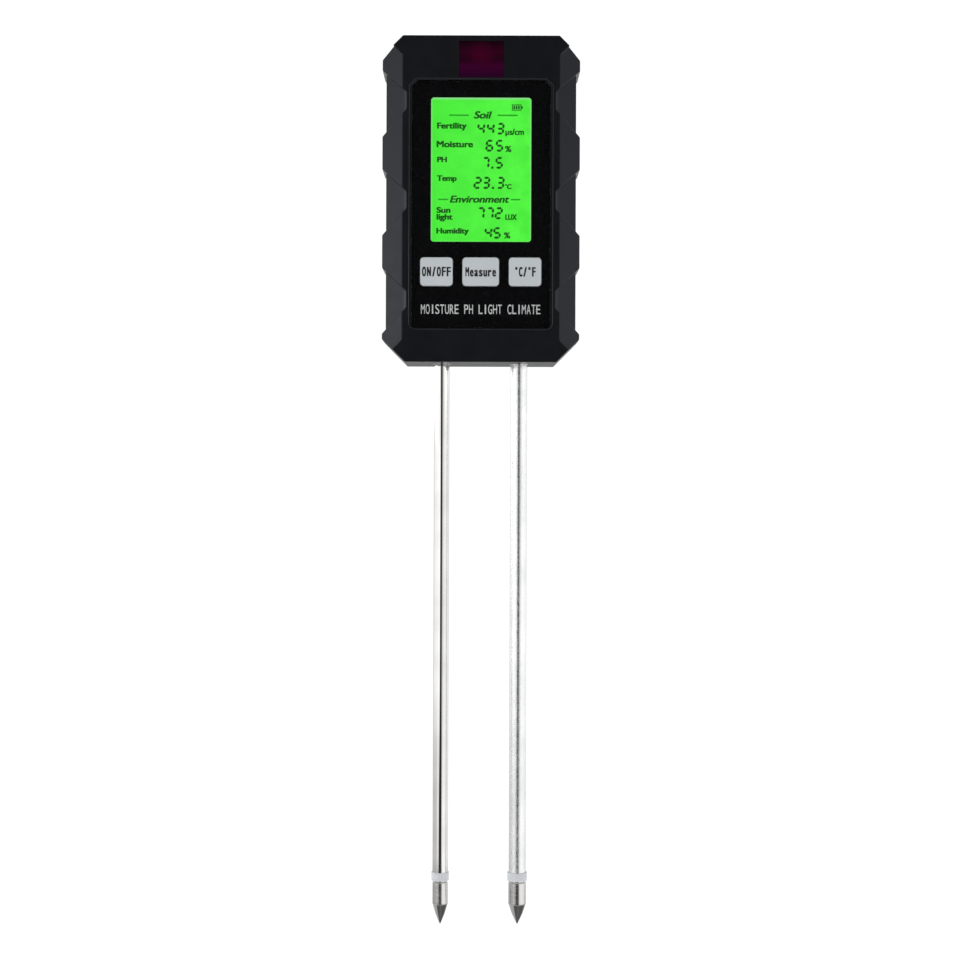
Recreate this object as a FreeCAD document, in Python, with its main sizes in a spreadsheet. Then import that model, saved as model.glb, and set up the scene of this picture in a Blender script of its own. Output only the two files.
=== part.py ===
"""Soil moisture meter: a hand-held display case on two soil probes.

Frame: +Z up, the probes point down, the display faces -Y and +X is to the right.
The origin is midway between the probes, on the underside of the case.
All sizes are in millimetres and live in the spreadsheet "sizes".
"""
import FreeCAD, Part
import math
import os
import re

import Sketcher

V = FreeCAD.Vector
doc = FreeCAD.newDocument("soil_meter")

SIZES = {
    # case, seen from the front
    "case_height": 118, "case_half_width": 36, "waist_half_width": 34.6,
    "top_chamfer": 7.7, "base_chamfer": 8.6,
    # case depth: display side at -front_depth, battery side at +rear_depth, split at Y = 0
    "front_depth": 14, "rear_depth": 14, "wall": 2.2, "rear_wall": 2,
    # side bevels of the display side and of the battery side
    "bevel_inner_x": 28.5, "bevel_drop": 6, "bevel_low_z": 8, "bevel_high_z": 111, "rear_bevel": 4,
    # grip recesses: three on each side, 45 degree ends
    "recess_floor_x": 28.1, "recess_rim_x": 27, "recess_depth": 1.5, "recess_half_length": 3,
    "recess_middle_z": 58.5, "recess_pitch": 35.9,
    # display panel
    "panel_half_width": 25, "panel_low_z": 12.3, "panel_high_z": 101.8,
    "panel_top_chamfer": 2, "panel_corner": 1.5, "panel_gap": 0.1,
    "lens_thickness": 1.5, "lens_setback": 0.3, "mask_thickness": 0.15, "tray_floor": 1.75,
    "tray_top_margin": 0.9,
    # display window and sensor window
    "view_width": 36.3, "view_height": 52.2, "view_z": 69.75, "view_corner": 1.1,
    "window_width": 16, "window_height": 13, "window_z": 109.4, "window_thickness": 2.05,
    "window_lip": 1.2, "window_lip_thickness": 0.8,
    "sensor_can_radius": 2.4, "sensor_can_length": 4, "sensor_dome_radius": 1.9,
    # keys
    "key_pitch": 16, "key_z": 32.6, "key_height": 10.2, "key_corner": 1.3, "key_gap": 0.2,
    "side_key_width": 11.7, "middle_key_width": 13.2, "key_rise": 0.8, "key_flange": 0.8,
    "key_flange_thickness": 0.7, "key_travel": 0.5,
    "plunger_radius": 1.7, "plunger_length": 2.4, "plunger_gap": 0.06,
    "switch_width": 6, "switch_height": 3.5,
    # display stack and board
    "glass_width": 44, "glass_height": 59.4, "glass_thickness": 2.6, "glass_low_z": 39.6,
    "light_width": 41, "light_height": 53, "light_low_z": 42.6,
    "frame_wall": 1.2, "strip_width": 1.8, "fit_gap": 0.1,
    "board_front_y": -4.4, "board_thickness": 1.6, "board_half_width": 29, "board_low_z": 24,
    "board_high_z": 104, "neck_half_width": 14, "neck_high_z": 114,
    "led_width": 1.2, "led_depth": 2.4, "led_height": 3, "led_low_z": 55, "led_high_z": 83,
    "chip_width": 10, "chip_thickness": 1.4, "chip_z": 86, "air_sensor_width": 3,
    "air_sensor_thickness": 1, "air_sensor_z": 108,
    # screws
    "screw_radius": 1.1, "screw_pilot": 1.15, "screw_head": 2, "screw_head_height": 1.5,
    "boss_radius": 2.6, "board_screw_x": 26.6, "board_screw_low_z": 27.4, "board_screw_high_z": 100.6,
    "case_screw_x": 26.5, "case_screw_low_z": 7.6, "case_screw_high_z": 110,
    "case_screw_radius": 1.4, "case_screw_pilot": 1.45, "case_screw_head": 2.5, "case_boss": 3.2,
    "case_screw_head_height": 2, "counterbore_depth": 5, "counterbore_radius": 2.8,
    "slot_width": 0.6, "slot_depth": 0.8,
    "board_screw_length": 6, "case_screw_length": 17, "bracket_screw_length": 14,
    # batteries, three side by side
    "cell_radius": 5.2, "cell_length": 43.6, "cell_pitch": 11.4, "cell_y": 6.6,
    "nub_radius": 1.9, "nub_length": 0.9, "contact_thickness": 0.4, "spring_length": 4.6,
    "spring_radius": 3.2, "spring_wire": 0.3, "spring_pitch": 1.1,
    "bay_half_width": 17.4, "bay_low_z": 29.5, "bay_high_z": 79.4, "bay_floor_y": 0.9, "bay_wall": 1.2,
    "contact_low_y": 1.9, "contact_width": 7.8, "contact_single": 9.6, "contact_double": 21,
    "contact_outer_x": 16, "contact_inner_x": 5, "contact_far_x": 6.4,
    # vents and finger scoop on the battery side
    "vent_width": 1.2, "vent_height": 9, "vent_pitch": 3, "vent_drop": 14,
    "scoop_radius": 7, "scoop_length": 12, "scoop_depth": 1.2, "scoop_rise": 3,
    # battery cover
    "hatch_half_width": 18, "hatch_low_z": 28.9, "hatch_high_z": 80.3, "hatch_gap": 0.3,
    "tab_x": 5.7, "tab_width": 4, "tab_thickness": 1.2, "tab_reach": 2, "tab_root": 1.4,
    "tongue_width": 10, "tongue_slot": 0.8, "tongue_length": 9, "nib_half_width": 4, "nib_height": 1.4,
    "nib_thickness": 0.9, "notch_gap": 0.6, "groove_depth": 0.5, "groove_height": 0.6, "groove_pitch": 1.4,
    # probes: the steel one is on the left and the alloy one on the right
    "probe_spacing": 28.4, "steel_radius": 2.85, "alloy_radius": 3.12, "neck_radius": 2.3,
    "rod_length": 187.1, "neck_length": 17, "bore_radius": 0.55, "bore_offset": 1.1, "socket_radius": 2,
    "bushing_height": 3, "bushing_rim": 0.35, "insulator_height": 3,
    "steel_rim": 0.37, "alloy_rim": 0.51,
    "sleeve_radius": 1.95, "sleeve_length": 6, "spigot_radius": 1.55, "spigot_length": 8,
    "steel_tip_radius": 2.8, "alloy_tip_radius": 3.2, "tip_length": 8.6, "point_length": 7.6,
    "tip_groove": 0.4,
    # probe bracket and its fastenings
    "bracket_half_width": 21, "bracket_half_depth": 5, "bracket_height": 9,
    "bracket_screw_x": 6, "bracket_screw_z": 7.6, "nut_across": 7, "nut_height": 3.2,
    "lug_thickness": 0.6, "lug_radius": 3.6,
    # wires and seal
    "lead_radius": 0.45, "wire_radius": 0.7, "lead_bend": 2, "lead_pad_z": 26.3,
    "seal_width": 0.9, "seal_height": 1,
}

# The sheet: one named cell to a row
sheet = doc.addObject("Spreadsheet::Sheet", "sizes")
for row, (alias, value) in enumerate(SIZES.items(), start=1):
    cell = "B%d" % row
    sheet.set("A%d" % row, alias)
    sheet.set(cell, str(value))
    sheet.setAlias(cell, alias)
doc.recompute()


# ---------------------------------------------------------------- helpers

def formula(text):
    """A size expression with every alias written as a cell of the sheet."""
    return re.sub(r"[a-z_]+", lambda word: ("sizes." if word.group() in SIZES else "") + word.group(),
                  str(text))


def number(text):
    return float(sheet.evalExpression(formula(text)))


def bind(feature, **properties):
    """Tie properties to the sheet; a double underscore in a name stands for a dot."""
    for name, text in properties.items():
        feature.setExpression(name.replace("__", "."), formula(text))


def place(feature, at, turn=None):
    """Put a feature at three size expressions, turned about an axis."""
    if turn:
        axis, degrees = turn
        feature.Placement.Rotation = FreeCAD.Rotation(axis, degrees)
    for axis_name, text in zip("xyz", at):
        feature.setExpression("Placement.Base." + axis_name, formula(text))


AXIS_TURN = {"X": (V(0, 1, 0), 90), "Y": (V(1, 0, 0), -90), "Z": None}


def cylinder(name, radius, length, at, along="Z"):
    """A round bar that starts at a point and runs towards the positive end of an axis."""
    bar = doc.addObject("Part::Cylinder", name)
    bind(bar, Radius=radius, Height=length)
    place(bar, at, AXIS_TURN[along])
    return bar


def box(name, size, at):
    """A block whose lowest corner is at a point."""
    block = doc.addObject("Part::Box", name)
    bind(block, Length=size[0], Width=size[1], Height=size[2])
    place(block, at)
    return block


def fuse(name, *pieces):
    joined = doc.addObject("Part::MultiFuse", name)
    joined.Shapes = list(pieces)
    return joined


def cut(name, base, *tools):
    """Take tools away from a base."""
    result = doc.addObject("Part::Cut", name)
    result.Base = base
    result.Tool = tools[0] if len(tools) == 1 else fuse(name + "_tools", *tools)
    return result


def common(name, first, second):
    shared = doc.addObject("Part::Common", name)
    shared.Base = first
    shared.Tool = second
    return shared


def group(name, *pieces):
    """Separate solids kept together in one node."""
    together = doc.addObject("Part::Compound", name)
    together.Links = list(pieces)
    return together


def outline_sketch(body, name, plane, outlines):
    """A sketch on one of the body's origin planes; every corner is tied to the sheet."""
    sketch = body.newObject("Sketcher::SketchObject", name)
    support = [item for item in body.Origin.OriginFeatures if item.Role == plane + "_Plane"][0]
    sketch.AttachmentSupport = (support, [""])
    sketch.MapMode = "FlatFace"
    for corners in outlines:
        points = [V(number(x), number(y), 0) for x, y in corners]
        first = sketch.GeometryCount
        for index, point in enumerate(points):
            sketch.addGeometry(Part.LineSegment(point, points[(index + 1) % len(points)]))
        for index in range(len(points)):
            following = first + (index + 1) % len(points)
            sketch.addConstraint(Sketcher.Constraint("Coincident", first + index, 2, following, 1))
        for index, corner in enumerate(corners):
            for kind, text in zip(("DistanceX", "DistanceY"), corner):
                rule = sketch.addConstraint(
                    Sketcher.Constraint(kind, -1, 1, first + index, 1, number(text)))
                rule_name = "%s_%d" % (kind, first + index)
                sketch.renameConstraint(rule, rule_name)
                sketch.setExpression("Constraints." + rule_name, formula(text))
    return sketch


def prism(name, plane, outlines, start, length):
    """A padded body: outlines on XZ run towards +Y, on XY towards +Z, on YZ towards +X."""
    body = doc.addObject("PartDesign::Body", name)
    body.AllowCompound = True
    sketch = outline_sketch(body, name + "_sketch", plane, outlines)
    pad = body.newObject("PartDesign::Pad", name + "_pad")
    pad.Profile = sketch
    pad.Reversed = plane == "XZ"
    bind(pad, Length=length)
    bind(body, **{"Placement__Base__" + {"XZ": "y", "XY": "z", "YZ": "x"}[plane]: start})
    return body


def round_edges(body, name, radius, picks):
    """Round the edges of a body's tip that run along Y and that picks() accepts."""
    doc.recompute()
    base = body.Tip
    names = []
    for index, edge in enumerate(base.Shape.Edges, start=1):
        along = edge.Vertexes[-1].Point - edge.Vertexes[0].Point
        if abs(along.y) > 1e-3 and abs(along.x) + abs(along.z) < 1e-6 and picks(edge.Vertexes[0].Point):
            names.append("Edge%d" % index)
    fillet = body.newObject("PartDesign::Fillet", name)
    fillet.Base = (base, names)
    bind(fillet, Radius=radius)
    return body


def rectangle(half_width, low, high, middle="0"):
    """Corners of a rectangle about a middle line."""
    left = "%s - (%s)" % (middle, half_width)
    right = "%s + (%s)" % (middle, half_width)
    return [(left, low), (right, low), (right, high), (left, high)]


def plate(name, width, height, middle_x, middle_z, start_y, thickness, corner=None):
    """A flat plate in the XZ plane, optionally with rounded corners."""
    outline = rectangle("(%s) / 2" % width, "-(%s) / 2" % height, "(%s) / 2" % height)
    body = prism(name, "XZ", [outline], start_y, thickness)
    bind(body, Placement__Base__x=middle_x, Placement__Base__z=middle_z)
    if corner:
        round_edges(body, name + "_corners", corner, lambda point: True)
    return body


def mirrored(points):
    return [("-(%s)" % x, y) for x, y in points]


def case_outline(half_width, inset):
    """The case from the front: a tall rectangle with four cut corners."""
    low = "%s" % inset
    high = "case_height - (%s)" % inset
    # a chamfer moved in by the inset loses 2 - sqrt(2) of it in each leg
    top = "top_chamfer - (case_half_width - (%s)) + (%s) * 0.414" % (half_width, inset)
    base = "base_chamfer - (case_half_width - (%s)) + (%s) * 0.414" % (half_width, inset)
    right = [("%s - (%s)" % (half_width, base), low), (half_width, "%s + %s" % (low, base)),
             (half_width, "%s - (%s)" % (high, top)), ("%s - (%s)" % (half_width, top), high)]
    left = [("-(%s)" % x, z) for x, z in reversed(right)]
    return right + left


nodes = {}


def keep(node_name, feature):
    """Name a finished sub-part; its label is its file name."""
    feature.Label = node_name
    nodes[node_name] = feature
    return feature


# ---------------------------------------------------------------- the case's outside

SLOPE = "(bevel_drop / (case_half_width - bevel_inner_x))"


def both_sides(points):
    return [points, mirrored(points)]


def case_blank(side, start, depth):
    """The full outline of the case over half its depth."""
    return prism(side + "_blank", "XZ", [case_outline("case_half_width", "0")], start, depth)


def front_bevels():
    """Wedges along the display side's edges; they end in diagonals at the cut corners."""
    reach = "case_half_width + 4"
    run = "(%s - bevel_inner_x)" % reach
    facet = [("bevel_inner_x", "bevel_low_z"), (reach, "bevel_low_z - " + run),
             (reach, "bevel_high_z + " + run), ("bevel_inner_x", "bevel_high_z")]
    fall = "-front_depth + %s * %s" % (run, SLOPE)
    wedge = [("bevel_inner_x", "-front_depth"), (reach, fall), (reach, "-front_depth - 1"),
             ("bevel_inner_x", "-front_depth - 1")]
    facets = prism("bevel_facets", "XZ", both_sides(facet), "-front_depth - 1", "front_depth")
    wedges = prism("bevel_wedges", "XY", both_sides(wedge), "-6", "case_height + 12")
    return common("front_bevel_tool", facets, wedges)


def rear_bevels():
    inner = "case_half_width - rear_bevel"
    wedge = [(inner, "rear_depth"), (inner, "rear_depth + 1"), ("case_half_width + 1", "rear_depth + 1"),
             ("case_half_width + 1", "rear_depth - rear_bevel - 1")]
    return prism("rear_bevel_tool", "XY", both_sides(wedge), "-1", "case_height + 2")


def grip_recesses():
    """Three recesses on each side: a floor 1.5 mm below the pads, ends at 45 degrees."""
    reach = "case_half_width + 4"
    spread = "recess_half_length + %s - recess_rim_x" % reach
    outlines = []
    for step in (-1, 0, 1):
        middle = "recess_middle_z + (%d) * recess_pitch" % step
        ends = [("recess_rim_x - 1", "%s - recess_half_length + 1" % middle),
                (reach, "%s - (%s)" % (middle, spread)), (reach, "%s + (%s)" % (middle, spread)),
                ("recess_rim_x - 1", "%s + recess_half_length - 1" % middle)]
        outlines += both_sides(ends)
    windows = prism("recess_windows", "XZ", outlines, "-front_depth - 2", "front_depth + rear_depth + 4")
    floor_y = "-front_depth + recess_depth"
    rim_run = "(recess_floor_x - recess_rim_x) / recess_depth"
    floor_end = "%s + (waist_half_width - recess_floor_x) * %s" % (floor_y, SLOPE)
    waist_rear = "rear_depth - rear_bevel"
    section = [("recess_rim_x - " + rim_run, "-front_depth - 1"), ("recess_floor_x", floor_y),
               ("waist_half_width", floor_end), ("waist_half_width", waist_rear),
               ("waist_half_width - rear_bevel - 1", "rear_depth + 1"), (reach, "rear_depth + 1"),
               (reach, "-front_depth - 1")]
    troughs = prism("recess_troughs", "XY", both_sides(section), "-1", "case_height + 2")
    return common("grip_recess_tool", windows, troughs)


def case_cavity():
    """The hollow of the case, following its bevels, with the display tray left standing."""
    inner = "waist_half_width - wall"
    outline = prism("cavity_outline", "XZ", [case_outline(inner, "wall")],
                    "-front_depth", "front_depth + rear_depth")
    front = "-front_depth + wall"
    rear = "rear_depth - rear_wall"
    shoulder = "recess_floor_x - 2"
    side_front = front + " + (%s - (%s)) * %s" % (inner, shoulder, SLOPE)
    section = [(shoulder, front), (inner, side_front), (inner, rear + " - 3"), (inner + " - 3", rear)]
    section = section + [("-(%s)" % x, y) for x, y in reversed(section)]
    slab = prism("cavity_section", "XY", [section], "-1", "case_height + 2")
    hollow = common("cavity_body", outline, slab)
    tray = box("display_tray", ("2 * panel_half_width + 4", "lens_setback + lens_thickness + mask_thickness"
                                " + tray_floor", "panel_high_z - panel_low_z + 2 + tray_top_margin"),
               ("-panel_half_width - 2", "-front_depth", "panel_low_z - 2"))
    return cut("case_cavity", hollow, tray)


MASK_FRONT = "-front_depth + lens_setback + lens_thickness"
TRAY_FRONT = MASK_FRONT + " + mask_thickness"
TRAY_BACK = TRAY_FRONT + " + tray_floor"
KEYS = [("power", "-key_pitch", "side_key_width"), ("measure", "0", "middle_key_width"),
        ("unit", "key_pitch", "side_key_width")]
bevels_front = front_bevels()
bevels_rear = rear_bevels()
recesses = grip_recesses()
cavity = case_cavity()
SIDES = (("steel", "-probe_spacing / 2", "steel_radius"), ("alloy", "probe_spacing / 2", "alloy_radius"))


def panel_outline(gap):
    """The display panel: two cut upper corners, square lower ones that are rounded later."""
    half = "panel_half_width + %s" % gap
    high = "panel_high_z + %s" % gap
    right = [(half, "panel_low_z - %s" % gap), (half, "%s - panel_top_chamfer" % high),
             ("%s - panel_top_chamfer" % half, high)]
    return right + [("-(%s)" % x, z) for x, z in reversed(right)]


def panel_sheet(name, gap, start, thickness):
    body = prism(name, "XZ", [panel_outline(gap)], start, thickness)
    lowest = number("panel_low_z + 1")
    return round_edges(body, name + "_corners", "panel_corner", lambda point: point.z < lowest)


def key_openings(name, gap, start, thickness):
    return [plate("%s_%s_hole" % (name, key), "%s + 2 * %s" % (width, gap), "key_height + 2 * %s" % gap,
                  x, "key_z", start, thickness, "key_corner + %s" % gap) for key, x, width in KEYS]


def screw_places(x, *heights):
    return [("%s%s" % (sign, x), z) for sign in ("-", "") for z in heights]


BOARD_SCREWS = screw_places("board_screw_x", "board_screw_low_z", "board_screw_high_z")
CASE_SCREWS = screw_places("case_screw_x", "case_screw_low_z", "case_screw_high_z")
BRACKET_SCREWS = screw_places("bracket_screw_x", "bracket_screw_z")
SHELL_FRONT = "-front_depth + wall"
PLUS_LEAD_X, MINUS_LEAD_X, BATTERY_LEAD_Y = "14", "-9", "4"


def posts(name, places, radius, start, length):
    return [cylinder("%s_%d" % (name, index), radius, length, (x, start, z), "Y")
            for index, (x, z) in enumerate(places)]


def probe_holes(name):
    """The two bushing holes in the underside, shared by both shells."""
    return [cylinder("%s_%s_hole" % (name, side), radius + " + bushing_rim", "wall + 2", (x, "0", "-1"))
            for side, x, radius in SIDES]


def seal_ring(name, width, start, length):
    """A band that follows the wall of the case, midway through its thickness."""
    middle = "(waist_half_width - wall / 2)"
    half = "(%s) / 2" % width
    outer = prism(name + "_outer", "XZ", [case_outline("%s + %s" % (middle, half), "wall / 2 - " + half)],
                  start, length)
    inner = prism(name + "_inner", "XZ", [case_outline("%s - %s" % (middle, half), "wall / 2 + " + half)],
                  start, length)
    return cut(name, outer, inner)


# ---------------------------------------------------------------- case shells

def front_cover():
    blank = case_blank("front", "-front_depth", "front_depth")
    hollow = cut("front_hollow", blank, bevels_front, recesses, cavity)
    root = SHELL_FRONT + " - 0.5"
    bosses = posts("board_boss", BOARD_SCREWS, "boss_radius", root + " + 1.3",
                   "board_front_y - 1.3 - (%s)" % root)
    bosses += posts("case_boss", CASE_SCREWS, "case_boss", root, "-(%s)" % root)
    bosses += posts("bracket_boss", BRACKET_SCREWS, "boss_radius", root,
                    "-bracket_half_depth - (%s)" % root)
    solid = fuse("front_solid", hollow, *bosses)
    pilots = posts("board_pilot", BOARD_SCREWS, "screw_pilot", "board_front_y - 5", "6")
    pilots += posts("case_pilot", CASE_SCREWS, "case_screw_pilot", "-9", "10")
    pilots += posts("bracket_pilot", BRACKET_SCREWS, "screw_pilot", "-bracket_half_depth - 5", "6")
    openings = [panel_sheet("panel_recess", "panel_gap", "-front_depth - 1",
                            "lens_setback + lens_thickness + mask_thickness + 1")]
    openings.append(plate("view_opening", "view_width + 2", "view_height + 2", "0", "view_z",
                          "-front_depth", "6", "view_corner"))
    openings += key_openings("tray", "key_gap", "-front_depth", "6")
    openings.append(plate("window_opening", "window_width + 0.1", "window_height + 0.1", "0", "window_z",
                          "-front_depth - 1", "wall + 2"))
    openings += probe_holes("front")
    return cut("front_cover", solid, *pilots, *openings)


def rear_cover():
    blank = case_blank("rear", "0", "rear_depth")
    hollow = cut("rear_hollow", blank, bevels_rear, recesses, cavity)
    inside = "rear_depth - rear_wall"
    bosses = posts("rear_boss", CASE_SCREWS, "case_boss", "0", inside)
    bay = box("bay_block", ("2 * (bay_half_width + bay_wall)", inside + " - bay_floor_y + bay_wall",
                            "bay_high_z - bay_low_z + 2 * bay_wall"),
              ("-bay_half_width - bay_wall", "bay_floor_y - bay_wall", "bay_low_z - bay_wall"))
    solid = fuse("rear_solid", hollow, bay, *bosses)
    tools = [box("bay_room", ("2 * bay_half_width", "rear_depth", "bay_high_z - bay_low_z"),
                 ("-bay_half_width", "bay_floor_y", "bay_low_z"))]
    tools.append(box("hatch_opening", ("2 * (hatch_half_width + hatch_gap)", "rear_wall + 1.1",
                                       "hatch_high_z - hatch_low_z + 2 * hatch_gap"),
                     ("-hatch_half_width - hatch_gap", inside + " - 0.1", "hatch_low_z - hatch_gap")))
    tools += [box("tab_notch_%d" % index, ("tab_width + 0.8", "tab_reach + 1.2", "2 * bay_wall + 0.6"),
                  ("%d * tab_x - tab_width / 2 - 0.4" % sign, inside + " - 3.2", "hatch_low_z - 1.5"))
              for index, sign in enumerate((-1, 1))]
    tools.append(cylinder("finger_scoop", "scoop_radius", "scoop_length",
                          ("-scoop_length / 2", "rear_depth + scoop_radius - scoop_depth",
                           "hatch_high_z + scoop_rise"), "X"))
    tools += posts("rear_hole", CASE_SCREWS, "case_screw_radius + 0.2", "-1", "rear_depth + 2")
    tools += posts("counterbore", CASE_SCREWS, "counterbore_radius", "rear_depth - counterbore_depth", "6")
    tools += [box("vent_%d" % index, ("vent_width", "rear_wall + 2", "vent_height"),
                  ("(%d) * vent_pitch - vent_width / 2" % index, inside + " - 1", "case_height - vent_drop"))
              for index in range(-2, 3)]
    tools += probe_holes("rear")
    tools.append(seal_ring("seal_groove", "seal_width", "0", "seal_height"))
    tools.append(box("keeper_notch", ("2 * (nib_half_width + notch_gap)", "nib_thickness + notch_gap + 0.1",
                                      "bay_wall + 0.2"),
                     ("-nib_half_width - notch_gap", inside + " - nib_thickness - notch_gap",
                      "bay_high_z - 0.1")))
    tools += [cylinder("lead_exit_%d" % index, "wire_radius + 0.2", "bay_wall + 0.4",
                       (x, BATTERY_LEAD_Y, "%s - 0.2" % z)) for index, (x, z) in enumerate(
                           ((PLUS_LEAD_X, "bay_high_z"), (MINUS_LEAD_X, "bay_low_z - bay_wall")))]
    return cut("rear_cover", solid, *tools)


keep("front_cover", front_cover())
keep("rear_cover", rear_cover())


# ---------------------------------------------------------------- display panel, windows and keys

def display_lens():
    blank = panel_sheet("lens_blank", "0", "-front_depth + lens_setback", "lens_thickness")
    return cut("display_lens", blank, *key_openings("lens", "key_gap", "-front_depth", "3"))


def panel_mask():
    blank = panel_sheet("mask_blank", "0", MASK_FRONT, "mask_thickness")
    view = plate("mask_view", "view_width", "view_height", "0", "view_z", "-front_depth", "3", "view_corner")
    return cut("panel_mask", blank, view, *key_openings("mask", "key_gap", "-front_depth", "3"))


def sensor_window():
    front = "-front_depth + wall - window_thickness"
    pane = plate("window_pane", "window_width", "window_height", "0", "window_z", front, "window_thickness")
    lip = plate("window_lip", "window_width + 2 * window_lip", "window_height - 0.4", "0",
                "window_z - 0.2", SHELL_FRONT, "window_lip_thickness")
    return fuse("sensor_window", pane, lip)


def key_cap(key, x, width):
    """A key: its cap stands proud of the lens and its flange waits behind the tray."""
    front = "-front_depth + lens_setback - key_rise"
    flange_front = TRAY_BACK + " + 0.05"
    cap = plate(key + "_cap", width, "key_height", x, "key_z", front,
                "%s - (%s) + 0.1" % (flange_front, front), "key_corner")
    flange = plate(key + "_flange", width + " + 2 * key_flange", "key_height + 2 * key_flange", x, "key_z",
                   flange_front, "key_flange_thickness")
    push_start = flange_front + " + key_flange_thickness"
    push = cylinder(key + "_push", "plunger_radius + 0.6", "%s - (%s)" % (PLUNGER_FRONT, push_start),
                    (x, push_start, "key_z"), "Y")
    return fuse(key + "_key", cap, flange, push)


SWITCH_FRONT = "board_front_y - switch_height"
PLUNGER_FRONT = SWITCH_FRONT + " - 0.7"


def switch_plunger(key, x):
    return cylinder(key + "_plunger", "plunger_radius", "plunger_length", (x, PLUNGER_FRONT, "key_z"), "Y")


def switch_bodies():
    switches = []
    for key, x, _ in KEYS:
        block = plate(key + "_switch_block", "switch_width", "switch_width", x, "key_z", SWITCH_FRONT,
                      "switch_height")
        well = cylinder(key + "_switch_well", "plunger_radius + plunger_gap",
                        "plunger_length + key_travel", (x, SWITCH_FRONT + " - 0.5", "key_z"), "Y")
        switches.append(cut(key + "_switch", block, well))
    return group("switch_bodies", *switches)


keep("display_lens", display_lens())
keep("panel_mask", panel_mask())
keep("sensor_window", sensor_window())
for key, x, width in KEYS:
    keep(key + "_key", key_cap(key, x, width))
    keep(key + "_plunger", switch_plunger(key, x))
keep("switch_bodies", switch_bodies())


# ---------------------------------------------------------------- display stack and circuit board

GLASS_FRONT = TRAY_BACK + " + fit_gap"
BOARD_BACK = "board_front_y + board_thickness"


def lcd_panel():
    """Two bonded panes; the front one overhangs at both ends to meet the contact strips."""
    half = "glass_thickness / 2"
    ledge = "(strip_width + 1)"
    front = box("front_pane", ("glass_width", half, "glass_height"),
                ("-glass_width / 2", GLASS_FRONT, "glass_low_z"))
    rear = box("rear_pane", ("glass_width", half, "glass_height - 2 * " + ledge),
               ("-glass_width / 2", "%s + %s" % (GLASS_FRONT, half), "glass_low_z + " + ledge))
    return fuse("lcd_panel", front, rear)


def contact_strips():
    start = GLASS_FRONT + " + glass_thickness / 2"
    length = "board_front_y - (%s)" % start
    levels = ("glass_low_z + 0.4", "glass_low_z + glass_height - 0.4 - strip_width")
    return group("contact_strips", *[
        box("contact_strip_%d" % index, ("glass_width - 4", length, "strip_width"),
            ("-glass_width / 2 + 2", start, z)) for index, z in enumerate(levels)])


def backlight_panel():
    start = GLASS_FRONT + " + glass_thickness + fit_gap"
    return box("backlight_panel", ("light_width", "board_front_y - fit_gap - (%s)" % start, "light_height"),
               ("-light_width / 2", start, "light_low_z"))


def backlight_leds():
    lamps = []
    for index, (sign, z) in enumerate((sign, z) for sign in (-1, 1) for z in ("led_low_z", "led_high_z")):
        x = "%d * (light_width / 2 + led_width / 2 + fit_gap) - led_width / 2" % sign
        lamps.append(box("backlight_led_%d" % index, ("led_width", "led_depth", "led_height"),
                         (x, "board_front_y - led_depth", z)))
    return group("backlight_leds", *lamps)


def lcd_frame():
    """A moulded rim round the glass and its light."""
    start = GLASS_FRONT + " + 1.4"
    outer = plate("frame_outer", "glass_width + 2 * frame_wall + 2 * fit_gap",
                  "glass_height + 2 * frame_wall + 2 * fit_gap", "0", "glass_low_z + glass_height / 2",
                  start, "board_front_y - (%s)" % start)
    inner = plate("frame_inner", "glass_width + 2 * fit_gap", "glass_height + 2 * fit_gap", "0",
                  "glass_low_z + glass_height / 2", "%s - 1" % start, "10")
    return cut("lcd_frame", outer, inner)


def main_pcb():
    right = [("board_half_width", "board_low_z"), ("board_half_width", "board_high_z"),
             ("neck_half_width", "board_high_z"), ("neck_half_width", "neck_high_z")]
    outline = right + [("-(%s)" % x, z) for x, z in reversed(right)]
    board = prism("board_blank", "XZ", [outline], "board_front_y", "board_thickness")
    holes = posts("board_hole", BOARD_SCREWS, "screw_radius + 0.1", "board_front_y - 1",
                  "board_thickness + 2")
    return cut("main_pcb", board, *holes)


def light_sensor():
    can_front = "board_front_y - sensor_can_length"
    can = cylinder("sensor_can", "sensor_can_radius", "sensor_can_length", ("0", can_front, "window_z"), "Y")
    dome = doc.addObject("Part::Sphere", "sensor_dome")
    bind(dome, Radius="sensor_dome_radius")
    place(dome, ("0", can_front, "window_z"))
    return fuse("light_sensor", can, dome)


def crossed_screw(name, x, z, seat_y, head, head_height, shank, shank_length):
    """A pan-head screw driven from the battery side, with a cross recess."""
    top = cylinder(name + "_head", head, head_height, (x, seat_y, z), "Y")
    stem = cylinder(name + "_shank", shank, shank_length, (x, "%s - %s" % (seat_y, shank_length), z), "Y")
    recess_y = "%s + %s - slot_depth" % (seat_y, head_height)
    arm = "1.3 * %s" % head
    bars = [box(name + "_recess_a", (arm, "1", "slot_width"),
                ("%s - (%s) / 2" % (x, arm), recess_y, "%s - slot_width / 2" % z)),
            box(name + "_recess_b", ("slot_width", "1", arm),
                ("%s - slot_width / 2" % x, recess_y, "%s - (%s) / 2" % (z, arm)))]
    return cut(name, fuse(name + "_body", top, stem), *bars)


def screws(node_name, places, seat_y, *sizes):
    return group(node_name, *[crossed_screw("%s_%d" % (node_name, index), x, z, seat_y, *sizes)
                              for index, (x, z) in enumerate(places)])


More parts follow.
